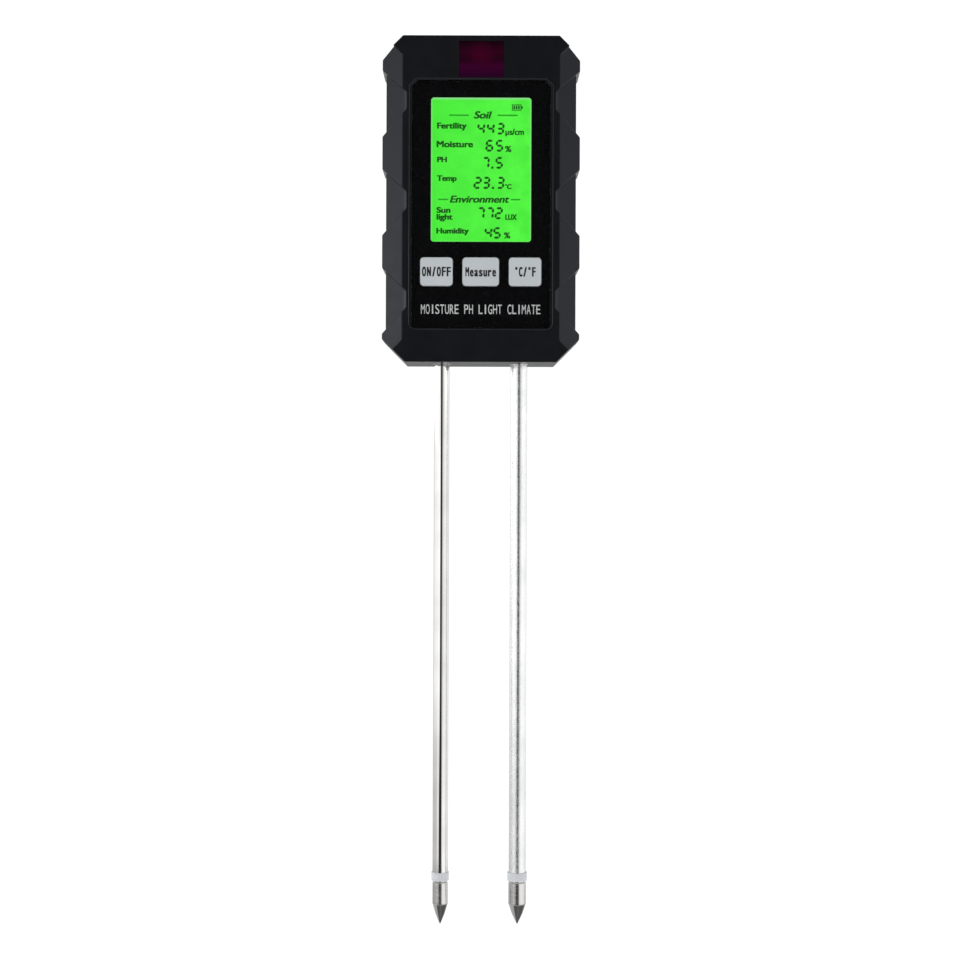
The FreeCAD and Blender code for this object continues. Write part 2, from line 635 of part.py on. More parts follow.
keep("lcd_panel", lcd_panel())
keep("contact_strips", contact_strips())
keep("backlight_panel", backlight_panel())
keep("backlight_leds", backlight_leds())
keep("lcd_frame", lcd_frame())
keep("main_pcb", main_pcb())
keep("main_chip", box("main_chip", ("chip_width", "chip_thickness", "chip_width"),
                      ("-chip_width / 2", BOARD_BACK, "chip_z")))
keep("air_sensor", box("air_sensor", ("air_sensor_width", "air_sensor_thickness", "air_sensor_width"),
                       ("-air_sensor_width / 2", BOARD_BACK, "air_sensor_z")))
keep("light_sensor", light_sensor())
keep("pcb_screws", screws("pcb_screws", BOARD_SCREWS, BOARD_BACK, "screw_head", "screw_head_height",
                          "screw_radius", "board_screw_length"))
keep("case_screws", screws("case_screws", CASE_SCREWS, "rear_depth - counterbore_depth",
                           "case_screw_head", "case_screw_head_height", "case_screw_radius",
                           "case_screw_length"))
keep("bracket_screws", screws("bracket_screws", BRACKET_SCREWS, "bracket_half_depth", "screw_head",
                              "screw_head_height", "screw_radius", "bracket_screw_length"))


# ---------------------------------------------------------------- probes

def turned(name, profile, x):
    """A part turned about the probe's own axis, from a half profile of (radius, height)."""
    body = doc.addObject("PartDesign::Body", name)
    sketch = outline_sketch(body, name + "_profile", "XZ", [profile])
    spin = body.newObject("PartDesign::Revolution", name + "_spin")
    spin.Profile = sketch
    spin.ReferenceAxis = (sketch, ["V_Axis"])
    spin.Angle = 360
    bind(body, Placement__Base__x=x)
    return body


def probe(side, x, radius):
    """A rod with a slimmer neck above, a socket for its tip below and a lead bore behind its axis."""
    socket_top = "-rod_length + sleeve_length"
    rod = turned(side + "_rod", [("0", socket_top), ("socket_radius", socket_top),
                                 ("socket_radius", "-rod_length"), (radius, "-rod_length"), (radius, "0"),
                                 ("neck_radius", "0"), ("neck_radius", "neck_length"),
                                 ("0", "neck_length")], x)
    bore = cylinder(side + "_lead_bore", "bore_radius", "rod_length + neck_length + 1",
                    (x, "bore_offset", "-rod_length"))
    return cut(side + "_probe", rod, bore)


def insulator(side, x, radius):
    low = "-rod_length - insulator_height"
    rim = "%s + %s_rim" % (radius, side)
    return turned(side + "_insulator", [("spigot_radius + 0.05", low), (rim, low), (rim, "-rod_length"),
                                        ("sleeve_radius", "-rod_length"),
                                        ("sleeve_radius", "-rod_length + sleeve_length"),
                                        ("spigot_radius + 0.05", "-rod_length + sleeve_length")], x)


def probe_tip(side, x):
    """The end electrode: a spigot, a shallow groove, a short cylinder and a tapered point."""
    radius = side + "_tip_radius"
    top = "-rod_length - insulator_height"
    base = top + " - tip_length"
    groove = "%s - tip_groove" % radius
    profile = [("0", top + " + spigot_length"), ("0", base + " - point_length"),
               ("0.3", base + " - point_length + 0.4"), (radius + " * 0.6", base + " - point_length * 0.5"),
               (radius, base), (radius, top + " - 2 * tip_groove"), (groove, top + " - tip_groove"),
               (groove, top), ("spigot_radius", top), ("spigot_radius", top + " + spigot_length")]
    return turned(side + "_tip", profile, x)


def bushing(side, x, radius):
    rim = radius + " + bushing_rim"
    return turned(side + "_bushing", [("neck_radius + 0.05", "0"), (rim, "0"), (rim, "bushing_height"),
                                      ("neck_radius + 0.05", "bushing_height")], x)


BRACKET_TOP = "bushing_height + bracket_height"


def probe_bracket():
    block = box("bracket_block", ("2 * bracket_half_width", "2 * bracket_half_depth", "bracket_height"),
                ("-bracket_half_width", "-bracket_half_depth", "bushing_height"))
    bores = [cylinder(side + "_bracket_bore", "neck_radius + 0.05", "bracket_height + 2",
                      (x, "0", "bushing_height - 1")) for side, x, _ in SIDES]
    holes = posts("bracket_hole", BRACKET_SCREWS, "screw_radius + 0.15", "-bracket_half_depth - 1",
                  "2 * bracket_half_depth + 2")
    return cut("probe_bracket", block, *bores, *holes)


def solder_lugs():
    lugs = []
    for (side, x, _), tail in zip(SIDES, ("-6.4", "2.4")):
        ring = cylinder(side + "_lug_ring", "lug_radius", "lug_thickness", (x, "0", BRACKET_TOP))
        leaf = box(side + "_lug_leaf", ("4", "2.4", "lug_thickness"),
                   ("%s + (%s)" % (x, tail), "-1.2", BRACKET_TOP))
        bore = cylinder(side + "_lug_bore", "neck_radius + 0.05", "2", (x, "0", BRACKET_TOP + " - 0.5"))
        lugs.append(cut(side + "_lug", fuse(side + "_lug_body", ring, leaf), bore))
    return group("solder_lugs", *lugs)


def probe_nuts():
    nuts = []
    for side, x, _ in SIDES:
        hexagon = doc.addObject("Part::Prism", side + "_nut_blank")
        hexagon.Polygon = 6
        bind(hexagon, Circumradius="nut_across / 1.732", Height="nut_height")
        place(hexagon, (x, "0", BRACKET_TOP + " + lug_thickness"))
        bore = cylinder(side + "_nut_bore", "neck_radius + 0.02", "nut_height + 2",
                        (x, "0", BRACKET_TOP + " + lug_thickness - 1"))
        nuts.append(cut(side + "_nut", hexagon, bore))
    return group("probe_nuts", *nuts)


for side, x, radius in SIDES:
    keep(side + "_probe", probe(side, x, radius))
    keep(side + "_insulator", insulator(side, x, radius))
    keep(side + "_tip", probe_tip(side, x))
    keep(side + "_bushing", bushing(side, x, radius))
keep("probe_bracket", probe_bracket())
keep("solder_lugs", solder_lugs())
keep("probe_nuts", probe_nuts())


# ---------------------------------------------------------------- wires

def wire_shape(x, y, start_z, turn_z, radius):
    """A round wire that runs up or down at (x, y), then bends over to the back of the board."""
    bend = number("lead_bend")
    heading = 1 if turn_z > start_z else -1
    corner = V(x, y, turn_z)
    straight_end = corner - V(0, 0, heading * bend)
    bend_end = corner - V(0, bend, 0)
    middle = V(x, y - bend, turn_z - heading * bend) + V(0, math.cos(math.pi / 4), heading *
                                                        math.sin(math.pi / 4)) * bend
    start = V(x, y, start_z)
    pad = V(x, number(BOARD_BACK), turn_z)
    path = Part.Wire([Part.LineSegment(start, straight_end).toShape(),
                      Part.Arc(straight_end, middle, bend_end).toShape(),
                      Part.LineSegment(bend_end, pad).toShape()])
    rim = Part.Wire([Part.Circle(start, V(0, 0, 1), radius).toShape()])
    return path.makePipeShell([rim], True, False)


def wire(node_name, *routes):
    feature = doc.addObject("Part::Feature", node_name)
    shapes = [wire_shape(*[number(value) for value in route]) for route in routes]
    feature.Shape = shapes[0] if len(shapes) == 1 else Part.makeCompound(shapes)
    feature.Placement = FreeCAD.Placement()
    return feature


SPIGOT_TOP = "-rod_length - insulator_height + spigot_length"
LUG_LEAD_X = "probe_spacing / 2 + 5"
LUG_TOP = BRACKET_TOP + " + lug_thickness"
for side, x, _ in SIDES:
    keep(side + "_tip_lead", wire(side + "_tip_lead", (x, "bore_offset", SPIGOT_TOP, "lead_pad_z",
                                                      "lead_radius")))
keep("probe_leads", wire("probe_leads", *[("%s(%s)" % (sign, LUG_LEAD_X), "0", LUG_TOP, "lead_pad_z",
                                           "lead_radius") for sign in ("-", "")]))
keep("battery_leads", wire("battery_leads",
                           (PLUS_LEAD_X, BATTERY_LEAD_Y, "bay_high_z", "bay_high_z + 5", "wire_radius"),
                           (MINUS_LEAD_X, BATTERY_LEAD_Y, "bay_low_z", "bay_low_z - 4", "wire_radius")))


# ---------------------------------------------------------------- batteries and their cover

CELL_BASE = "bay_low_z + contact_thickness + spring_length"
CELL_TOP = "bay_high_z - contact_thickness - spring_length"


def batteries():
    """Three cells in series; the middle one stands on its head."""
    cells = []
    for index in range(3):
        x = "%d * cell_pitch" % (index - 1)
        flipped = index == 1
        base = "bay_low_z + contact_thickness + nub_length" if flipped else CELL_BASE
        nub_base = "bay_low_z + contact_thickness" if flipped else "%s + cell_length - 0.1" % CELL_BASE
        can = cylinder("cell_%d_can" % index, "cell_radius", "cell_length", (x, "cell_y", base))
        nub = cylinder("cell_%d_nub" % index, "nub_radius", "nub_length + 0.1", (x, "cell_y", nub_base))
        cells.append(fuse("cell_%d" % index, can, nub))
    return group("batteries", *cells)


def battery_contacts():
    low = "bay_low_z"
    high = "bay_high_z - contact_thickness"
    spans = (("-contact_outer_x", "contact_single", low), ("-contact_inner_x", "contact_double", low),
             ("-contact_outer_x", "contact_double", high), ("contact_far_x", "contact_single", high))
    return group("battery_contacts", *[
        box("contact_%d" % index, (length, "contact_width", "contact_thickness"), (x, "contact_low_y", z))
        for index, (x, length, z) in enumerate(spans)])


def spring_coil(radius, wire_radius, height, pitch):
    """A coil spring standing on the origin: short straight lengths of eight-sided wire, mitred together."""
    steps = 12
    sides = 8
    points = []
    for index in range(round(height / pitch * steps) + 1):
        angle = 2 * math.pi * index / steps
        points.append(V(radius * math.cos(angle), radius * math.sin(angle), pitch * index / steps))
    heading = (points[1] - points[0]).normalize()
    outward = V(1, 0, 0)
    upward = outward.cross(heading)
    rim = [points[0] + outward * wire_radius * math.cos(turn) + upward * wire_radius * math.sin(turn)
           for turn in [2 * math.pi * side / sides for side in range(sides + 1)]]
    return Part.makePolygon(points).makePipeShell([Part.makePolygon(rim)], True, False, 1)


def battery_springs():
    wire_radius = number("spring_wire")
    height = number("spring_length") - 2 * wire_radius - 0.2
    foot = "bay_low_z + contact_thickness"
    coils = []
    for x, z in (("-cell_pitch", foot), ("cell_pitch", foot), ("0", CELL_TOP)):
        coil = spring_coil(number("spring_radius"), wire_radius, height, number("spring_pitch"))
        coil.translate(V(number(x), number("cell_y"), number(z) + wire_radius + 0.1))
        coils.append(coil)
    feature = doc.addObject("Part::Feature", "battery_springs")
    feature.Shape = Part.makeCompound(coils)
    feature.Placement = FreeCAD.Placement()
    return feature


def battery_cover():
    """The rear hatch: two tabs at its foot to tip on, and a sprung tongue at its head."""
    inside = "rear_depth - rear_wall"
    panel = box("hatch_panel", ("2 * hatch_half_width", "rear_wall", "hatch_high_z - hatch_low_z"),
                ("-hatch_half_width", inside, "hatch_low_z"))
    added = [panel]
    for index, sign in enumerate((-1, 1)):
        x = "%d * tab_x - tab_width / 2" % sign
        added.append(box("tab_%d" % index, ("tab_width", "tab_thickness", "tab_reach + 1.6"),
                         (x, inside + " - tab_root", "hatch_low_z - tab_reach")))
        added.append(box("tab_root_%d" % index, ("tab_width", "tab_root + 0.1", "1.4"),
                         (x, inside + " - tab_root", "hatch_low_z + 0.2")))
    added.append(box("tongue_nib", ("2 * nib_half_width", "nib_thickness", "nib_height"),
                     ("-nib_half_width", inside + " - nib_thickness + 0.1", "hatch_high_z - nib_height")))
    slots = [box("tongue_slot_%d" % index, ("tongue_slot", "rear_wall + 1", "tongue_length + 1"),
                 ("%d * (tongue_width + tongue_slot) / 2 - tongue_slot / 2" % sign, inside + " - 0.5",
                  "hatch_high_z - tongue_length")) for index, sign in enumerate((-1, 1))]
    grooves = [box("grip_groove_%d" % index, ("tongue_width - 2", "2 * groove_depth", "groove_height"),
                   ("-tongue_width / 2 + 1", "rear_depth - groove_depth",
                    "hatch_high_z - 2 - groove_pitch * %d" % index)) for index in range(4)]
    return cut("battery_cover", fuse("hatch_solid", *added), *slots, *grooves)


def case_seal():
    ring = seal_ring("seal_ring", "seal_width - 0.1", "0", "seal_height")
    gaps = [cylinder("seal_gap_" + side, radius + " + bushing_rim + 0.1", "wall + 2", (x, "0", "-1"))
            for side, x, radius in SIDES]
    return cut("case_seal", ring, *gaps)


keep("batteries", batteries())
keep("battery_contacts", battery_contacts())
keep("battery_springs", battery_springs())
keep("battery_cover", battery_cover())
keep("case_seal", case_seal())


# ---------------------------------------------------------------- check and export

doc.recompute()
for feature in doc.Objects:
    if "Invalid" in feature.State or "Error" in feature.State:
        raise RuntimeError("%s did not build: %s" % (feature.Label, feature.State))
os.makedirs("parts", exist_ok=True)
for node_name, feature in nodes.items():
    shape = feature.Shape
    if shape.isNull() or not shape.isValid():
        raise RuntimeError(node_name + " has no valid shape")
    shape.exportStep("parts/%s.step" % node_name)
    print("%-22s %3d solid(s) %10.1f mm3" % (node_name, len(shape.Solids), shape.Volume))
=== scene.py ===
"""Looks of the soil moisture meter: materials, lettering, display, light and camera.

Metres throughout, but for the tables of what the display shows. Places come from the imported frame's boxes.
"""

import math

import bmesh
import bpy
from mathutils import Matrix, Vector


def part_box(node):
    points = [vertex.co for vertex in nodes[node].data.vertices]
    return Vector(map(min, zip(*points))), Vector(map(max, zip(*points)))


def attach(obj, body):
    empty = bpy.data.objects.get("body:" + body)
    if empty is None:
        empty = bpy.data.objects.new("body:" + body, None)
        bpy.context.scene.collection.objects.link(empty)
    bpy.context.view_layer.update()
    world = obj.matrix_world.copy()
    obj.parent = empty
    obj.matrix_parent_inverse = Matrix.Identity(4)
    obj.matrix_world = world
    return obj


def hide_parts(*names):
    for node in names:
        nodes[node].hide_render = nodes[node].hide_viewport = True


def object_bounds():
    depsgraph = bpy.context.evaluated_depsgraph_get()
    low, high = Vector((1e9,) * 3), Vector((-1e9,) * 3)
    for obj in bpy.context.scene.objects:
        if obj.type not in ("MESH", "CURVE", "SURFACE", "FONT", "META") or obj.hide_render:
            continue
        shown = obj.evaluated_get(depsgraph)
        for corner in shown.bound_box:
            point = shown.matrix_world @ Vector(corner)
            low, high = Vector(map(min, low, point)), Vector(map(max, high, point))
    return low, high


MM = 0.001
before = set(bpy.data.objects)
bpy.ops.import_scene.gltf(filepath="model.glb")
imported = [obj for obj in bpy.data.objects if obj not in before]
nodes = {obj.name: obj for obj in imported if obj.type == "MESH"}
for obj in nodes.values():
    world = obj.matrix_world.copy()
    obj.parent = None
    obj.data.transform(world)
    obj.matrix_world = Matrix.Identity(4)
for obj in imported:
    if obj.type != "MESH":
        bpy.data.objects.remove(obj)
CAD_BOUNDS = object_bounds()
scene = bpy.context.scene


# ---------------------------------------------------------------- small helpers

def add_object(name, data):
    obj = bpy.data.objects.new(name, data)
    scene.collection.objects.link(obj)
    return obj


def coat(obj, material):
    obj.data.materials.clear()
    obj.data.materials.append(material)


class Nodes:
    """Short calls for building the node tree of a material or a world."""

    def __init__(self, owner):
        owner.use_nodes = True
        self.owner = owner
        self.tree = owner.node_tree
        self.tree.nodes.clear()

    def add(self, kind, **settings):
        node = self.tree.nodes.new(kind)
        for name, value in settings.items():
            setattr(node, name, value)
        return node

    def link(self, source, target):
        self.tree.links.new(source, target)

    def principled(self, **settings):
        """The main shader; a setting's name is its socket's, with _ for each space."""
        shader = self.add("ShaderNodeBsdfPrincipled")
        for name, value in settings.items():
            shader.inputs[name.replace("_", " ")].default_value = value
        return shader

    def position(self, scale=(1, 1, 1)):
        """The point on the piece, stretched along each axis."""
        place = self.add("ShaderNodeTexCoord")
        mapping = self.add("ShaderNodeMapping")
        mapping.inputs["Scale"].default_value = scale
        self.link(place.outputs["Object"], mapping.inputs["Vector"])
        return mapping.outputs["Vector"]

    def axes(self, source="Object"):
        """The point's X, Y and Z, each a socket of its own."""
        place = self.add("ShaderNodeTexCoord")
        split = self.add("ShaderNodeSeparateXYZ")
        self.link(place.outputs[source], split.inputs["Vector"])
        return split.outputs

    def calculate(self, operation, first, second=None):
        """One step of arithmetic on sockets or plain numbers."""
        node = self.add("ShaderNodeMath", operation=operation)
        for socket, value in zip(node.inputs, (first, second)):
            if isinstance(value, bpy.types.NodeSocket):
                self.link(value, socket)
            elif value is not None:
                socket.default_value = value
        return node.outputs[0]

    def azimuth(self, x, y):
        """The way a point lies seen from above: 0.5 straight at -Y, and more as it turns towards +X."""
        angle = self.calculate("ARCTAN2", x, self.calculate("MULTIPLY", y, -1))
        return self.spread(angle, 0, 1, -math.pi, math.pi)

    def noise(self, vector, scale, detail=3, roughness=0.5):
        node = self.add("ShaderNodeTexNoise")
        node.inputs["Scale"].default_value = scale
        node.inputs["Detail"].default_value = detail
        node.inputs["Roughness"].default_value = roughness
        self.link(vector, node.inputs["Vector"])
        return node.outputs["Fac"]

    def spread(self, value, low, high, source_low=0.3, source_high=0.7):
        """Maps a range of the value, by default the usual range of noise, onto low to high."""
        node = self.add("ShaderNodeMapRange")
        node.inputs["From Min"].default_value = source_low
        node.inputs["From Max"].default_value = source_high
        node.inputs["To Min"].default_value = low
        node.inputs["To Max"].default_value = high
        self.link(value, node.inputs["Value"])
        return node.outputs["Result"]

    def ramp(self, value, *stops):
        """Colours between stops, each (position, colour)."""
        node = self.add("ShaderNodeValToRGB")
        ramp = node.color_ramp
        while len(ramp.elements) < len(stops):
            ramp.elements.new(0.5)
        for element, (place, colour) in zip(ramp.elements, stops):
            element.position = place
            element.color = (*colour, 1)
        self.link(value, node.inputs["Fac"])
        return node.outputs["Color"]

    def cloudy(self, noise, dark, light):
        """A colour that drifts between two as the noise does."""
        return self.ramp(noise, (0.3, dark), (0.7, light))

    def mix(self, factor, first, second):
        """A blend from the first colour to the second, which may be a plain colour."""
        node = self.add("ShaderNodeMix", data_type="RGBA")
        self.link(factor, node.inputs["Factor"])
        self.link(first, node.inputs["A"])
        if isinstance(second, bpy.types.NodeSocket):
            self.link(second, node.inputs["B"])
        else:
            node.inputs["B"].default_value = (*second, 1)
        return node.outputs["Result"]

    def mix_shaders(self, factor, first, second):
        node = self.add("ShaderNodeMixShader")
        self.link(factor, node.inputs["Fac"])
        self.link(first.outputs[0], node.inputs[1])
        self.link(second.outputs[0], node.inputs[2])
        return node

    def bump(self, height, strength, distance):
        node = self.add("ShaderNodeBump")
        node.inputs["Strength"].default_value = strength
        node.inputs["Distance"].default_value = distance
        self.link(height, node.inputs["Height"])
        return node.outputs["Normal"]

    def finish(self, shader, output="ShaderNodeOutputMaterial"):
        """Send the shader to the surface, and hand back the finished material or world."""
        self.link(shader.outputs[0], self.add(output).inputs["Surface"])
        return self.owner


def material_nodes(name):
    return Nodes(bpy.data.materials.new(name))


# ---------------------------------------------------------------- materials

def moulded_plastic(name, dark, light, roughness, grain=0.25, grain_scale=9000, specular=0.5,
                    tint=(1, 1, 1, 1)):
    """Injection-moulded plastic: fine spark texture, faint cloudiness in colour and gloss."""
    n = material_nodes(name)
    place = n.position()
    shader = n.principled(Specular_IOR_Level=specular, Specular_Tint=tint)
    n.link(n.cloudy(n.noise(place, 60, 4), dark, light), shader.inputs["Base Color"])
    n.link(n.spread(n.noise(place, 250, 3), roughness - 0.02, roughness + 0.03), shader.inputs["Roughness"])
    n.link(n.bump(n.noise(place, grain_scale, 2), grain, 0.03 * MM), shader.inputs["Normal"])
    return n.finish(shader)


def metal(name, colour_low, colour_high, roughness_low, roughness_high, stretch=(1, 1, 1),
          scratch=0.12, scale=2600):
    """Drawn or polished metal: fine lines along the axis with the small stretch, and cloudy tarnish."""
    n = material_nodes(name)
    lines = n.noise(n.position(stretch), scale, 5, 0.6)
    shader = n.principled(Metallic=1.0)
    n.link(n.cloudy(n.noise(n.position(), 90, 4), colour_low, colour_high), shader.inputs["Base Color"])
    n.link(n.spread(lines, roughness_low, roughness_high), shader.inputs["Roughness"])
    n.link(n.bump(lines, scratch, 0.02 * MM), shader.inputs["Normal"])
    return n.finish(shader)


def ground_point(name, box):
    """A ground electrode: bright above; its point carries a painted reflection, dark all round but for one
    flank painted light and a faint lighter streak; with fine turning marks.
    """
    low, high = box
    bright = (0.62, 0.61, 0.59)
    # Painted reflection on the point: a lit flank, dark sides and a faint lighter streak
    painted_lit_flank = (0.34, 0.345, 0.33)
    painted_dark = (0.075, 0.075, 0.076)
    painted_streak = tuple(1.5 * channel for channel in painted_dark)
    n = material_nodes(name)
    x, y, z = n.axes()
    turn = n.azimuth(n.calculate("SUBTRACT", x, (low.x + high.x) / 2), y)
    # The painted reflection runs round the point's axis and is fixed to the piece
    point = n.ramp(turn, (0.08, painted_dark), (0.13, painted_lit_flank), (0.42, painted_lit_flank), (0.44, painted_dark), (0.49, painted_dark),
                   (0.52, painted_streak), (0.56, painted_dark))
    height = n.spread(z, 0, 1, low.z, high.z)
    rings = n.noise(n.position((0.05, 0.05, 1)), 5000, 3)
    shader = n.principled(Metallic=1.0)
    n.link(n.mix(n.spread(height, 0, 1, 0.3, 0.33), point, bright), shader.inputs["Base Color"])
    n.link(n.spread(rings, 0.12, 0.2), shader.inputs["Roughness"])
    n.link(n.bump(rings, 0.08, 0.02 * MM), shader.inputs["Normal"])
    return n.finish(shader)


def panel_print():
    """The black print behind the clear panel, bluish and very faintly cloudy."""
    n = material_nodes("panel_print")
    cloud = n.noise(n.position(), 120, 3)
    shader = n.principled(Specular_IOR_Level=0.1)
    n.link(n.cloudy(cloud, (0.0018, 0.0020, 0.0026), (0.0022, 0.0025, 0.0033)), shader.inputs["Base Color"])
    n.link(n.spread(n.noise(n.position(), 260), 0.26, 0.29), shader.inputs["Roughness"])
    return n.finish(shader)


def clear_acrylic():
    """Clear sheet: see-through, with a weak mirror on top that strengthens towards grazing view."""
    n = material_nodes("clear_acrylic")
    through = n.add("ShaderNodeBsdfTransparent")
    gloss = n.add("ShaderNodeBsdfAnisotropic")
    n.link(n.spread(n.noise(n.position(), 90, 2), 0.06, 0.1), gloss.inputs["Roughness"])
    slant = n.add("ShaderNodeLayerWeight")
    slant.inputs["Blend"].default_value = 0.5
    mirror = n.spread(n.calculate("POWER", slant.outputs["Facing"], 5), 0.04, 1, 0, 1)
    return n.finish(n.mix_shaders(mirror, through, gloss))


def red_filter(box):
    """Dark red filter, turning purple below, with darker edges; a crimson glow over the sensor is painted on
    as lighter colour.
    """
    low, high = box
    n = material_nodes("red_filter")
    height = n.spread(n.axes()["Z"], 0, 1, low.z, high.z)
    tone = n.ramp(height, (0.08, (0.03, 0.001, 0.022)), (0.3, (0.048, 0.0005, 0.026)),
                  (0.5, (0.022, 0.001, 0.009)), (0.7, (0.034, 0.001, 0.013)), (0.95, (0.012, 0.001, 0.005)))
    # Painted glow: lighter red painted in a round patch where the sensor sits behind the filter
    from_sensor = n.add("ShaderNodeVectorMath", operation="DISTANCE")
    n.link(n.position(), from_sensor.inputs[0])
    sensor_z = low.z + 0.62 * (high.z - low.z)
    from_sensor.inputs[1].default_value = ((low.x + high.x) / 2, low.y, sensor_z)
    painted_glow = n.spread(from_sensor.outputs["Value"], 1, 0, 1.2 * MM, 5.5 * MM)
    shader = n.principled(Roughness=0.12, Specular_IOR_Level=0.3)
    n.link(n.mix(painted_glow, tone, (0.055, 0.0005, 0.016)), shader.inputs["Base Color"])
    n.link(n.bump(n.noise(n.position(), 500), 0.05, 0.05 * MM), shader.inputs["Normal"])
    return n.finish(shader)


def lit_display(low, high):
    """The lit glass: even green, a little brighter to the right, pale along its edges."""
    n = material_nodes("lit_display")
    x, _, z = n.axes()
    half_width = (high.x - low.x) / 2
    half_height = (high.z - low.z) / 2

    def to_edge(place, middle, half):
        from_middle = n.calculate("ABSOLUTE", n.calculate("SUBTRACT", place, middle))
        return n.calculate("SUBTRACT", half, from_middle)

    nearest = n.calculate("MINIMUM", to_edge(x, 0, half_width), to_edge(z, (low.z + high.z) / 2, half_height))
    across = n.spread(x, 0, 1, -half_width, half_width)
    green = n.ramp(across, (0, (0.06, 0.88, 0.032)), (1, (0.088, 1.0, 0.048)))
    patches = n.spread(n.noise(n.position(), 160, 2), 0, 0.8, 0.35, 0.65)
    uneven = n.mix(patches, green, (0.055, 0.83, 0.03))
    rimmed = n.mix(n.spread(nearest, 1, 0, 0, 0.6 * MM), uneven, (0.25, 0.78, 0.24))
    shader = n.principled(Base_Color=(0.02, 0.05, 0.02, 1), Roughness=0.35, Emission_Strength=1.0)
    n.link(rimmed, shader.inputs["Emission Color"])
    return n.finish(shader)


def ink(name, colour, roughness, emission=0.0):
    """Printed or switched-on ink, slightly uneven in density."""
    n = material_nodes(name)
    darker = tuple(0.8 * channel for channel in colour)
    tone = n.ramp(n.noise(n.position(), 900, 2), (0.35, darker), (0.65, colour))
    shader = n.principled(Roughness=roughness, Emission_Strength=emission)
    n.link(tone, shader.inputs["Base Color"])
    if emission:
        n.link(tone, shader.inputs["Emission Color"])
    return n.finish(shader)


def circuit_board():
    """Green solder mask over copper tracks, with weave just showing."""
    n = material_nodes("circuit_board")
    tracks = n.add("ShaderNodeTexBrick")
    tracks.inputs["Scale"].default_value = 300
    tracks.inputs["Mortar Size"].default_value = 0.08
    tracks.inputs["Color1"].default_value = (0.006, 0.07, 0.022, 1)
    tracks.inputs["Color2"].default_value = (0.008, 0.1, 0.03, 1)
    tracks.inputs["Mortar"].default_value = (0.02, 0.16, 0.05, 1)
    upright = n.add("ShaderNodeMapping")
    upright.inputs["Rotation"].default_value = (math.radians(90), 0, 0)
    n.link(n.position(), upright.inputs["Vector"])
    n.link(upright.outputs["Vector"], tracks.inputs["Vector"])
    shader = n.principled(Roughness=0.3)
    n.link(tracks.outputs["Color"], shader.inputs["Base Color"])
    n.link(n.bump(n.noise(n.position(), 2500), 0.1, 0.03 * MM), shader.inputs["Normal"])
    return n.finish(shader)


def cell_jacket(box):
    """Battery sleeve: bare steel at the lower end, dark barrel, copper-coloured upper end."""
    low, high = box
    n = material_nodes("cell_jacket")
    height = n.spread(n.axes()["Z"], 0, 1, low.z, high.z)
    shader = n.principled(Roughness=0.25, Coat_Weight=0.4)
    n.link(n.ramp(height, (0.0, (0.5, 0.5, 0.5)), (0.03, (0.01, 0.012, 0.016)), (0.72, (0.012, 0.014, 0.02)),
                  (0.76, (0.42, 0.2, 0.06)), (0.97, (0.5, 0.26, 0.08))), shader.inputs["Base Color"])
    n.link(n.bump(n.noise(n.position(), 900), 0.08, 0.04 * MM), shader.inputs["Normal"])
    return n.finish(shader)


CASE_DARK = (0.0044, 0.0047, 0.0056)
CASE_LIGHT = (0.0060, 0.0063, 0.0074)
CASE_TINT = (0.95, 1, 1.14, 1)
PALETTE = {
    "case": moulded_plastic("case_plastic", CASE_DARK, CASE_LIGHT, 0.32, 0.12, specular=0.25, tint=CASE_TINT),
    "lip": moulded_plastic("lip_plastic", CASE_DARK, CASE_LIGHT, 0.25, 0.05, specular=0.5, tint=CASE_TINT),
    "key": moulded_plastic("key_plastic", (0.6, 0.645, 0.67), (0.64, 0.68, 0.705), 0.38, 0.12, 14000),
    "black": moulded_plastic("black_moulding", (0.008, 0.008, 0.009), (0.014, 0.014, 0.015), 0.5),
    "white": moulded_plastic("white_moulding", (0.64, 0.665, 0.7), (0.7, 0.725, 0.755), 0.45, 0.05),
    "seal": moulded_plastic("seal_rubber", (0.012, 0.012, 0.012), (0.02, 0.02, 0.02), 0.75),
    "zebra": moulded_plastic("strip_rubber", (0.2, 0.2, 0.2), (0.4, 0.4, 0.4), 0.7),
    "lead": moulded_plastic("lead_insulation", (0.4, 0.012, 0.012), (0.5, 0.02, 0.02), 0.5),
    "dome": moulded_plastic("sensor_dome", (0.5, 0.52, 0.56), (0.62, 0.64, 0.66), 0.15, 0.05),
    "guide": moulded_plastic("light_guide", (0.45, 0.8, 0.4), (0.6, 0.95, 0.55), 0.3),
    "steel": metal("polished_steel", (0.62, 0.615, 0.6), (0.72, 0.715, 0.7), 0.03, 0.07, (1, 1, 0.04),
                   scratch=0.05),
    "alloy": metal("drawn_alloy", (0.72, 0.725, 0.73), (0.84, 0.84, 0.84), 0.2, 0.36, (1, 1, 0.35),
                   scratch=0.6, scale=1600),
    "zinc": metal("zinc_plate", (0.3, 0.31, 0.33), (0.42, 0.42, 0.43), 0.25, 0.42),
    "brass": metal("turned_brass", (0.62, 0.43, 0.16), (0.75, 0.55, 0.24), 0.2, 0.35),
    "tin": metal("tinned_sheet", (0.6, 0.6, 0.6), (0.72, 0.72, 0.7), 0.2, 0.38),
}
FINISHES = {
    "black": ("power_plunger", "measure_plunger", "unit_plunger", "main_chip", "air_sensor", "probe_bracket"),
    "white": ("backlight_leds", "lcd_frame", "steel_insulator", "alloy_insulator"),
    "tin": ("switch_bodies", "solder_lugs", "battery_contacts"),
    "zinc": ("pcb_screws", "case_screws", "bracket_screws", "battery_springs"),
    "steel": ("steel_probe", "steel_bushing"),
    "alloy": ("alloy_probe", "alloy_bushing"),
    "lead": ("steel_tip_lead", "alloy_tip_lead", "probe_leads", "battery_leads"),
    "brass": ("probe_nuts",),
    "guide": ("backlight_panel",),
    "zebra": ("contact_strips",),
    "dome": ("light_sensor",),
    "seal": ("case_seal",),
}
CLEAR = clear_acrylic()

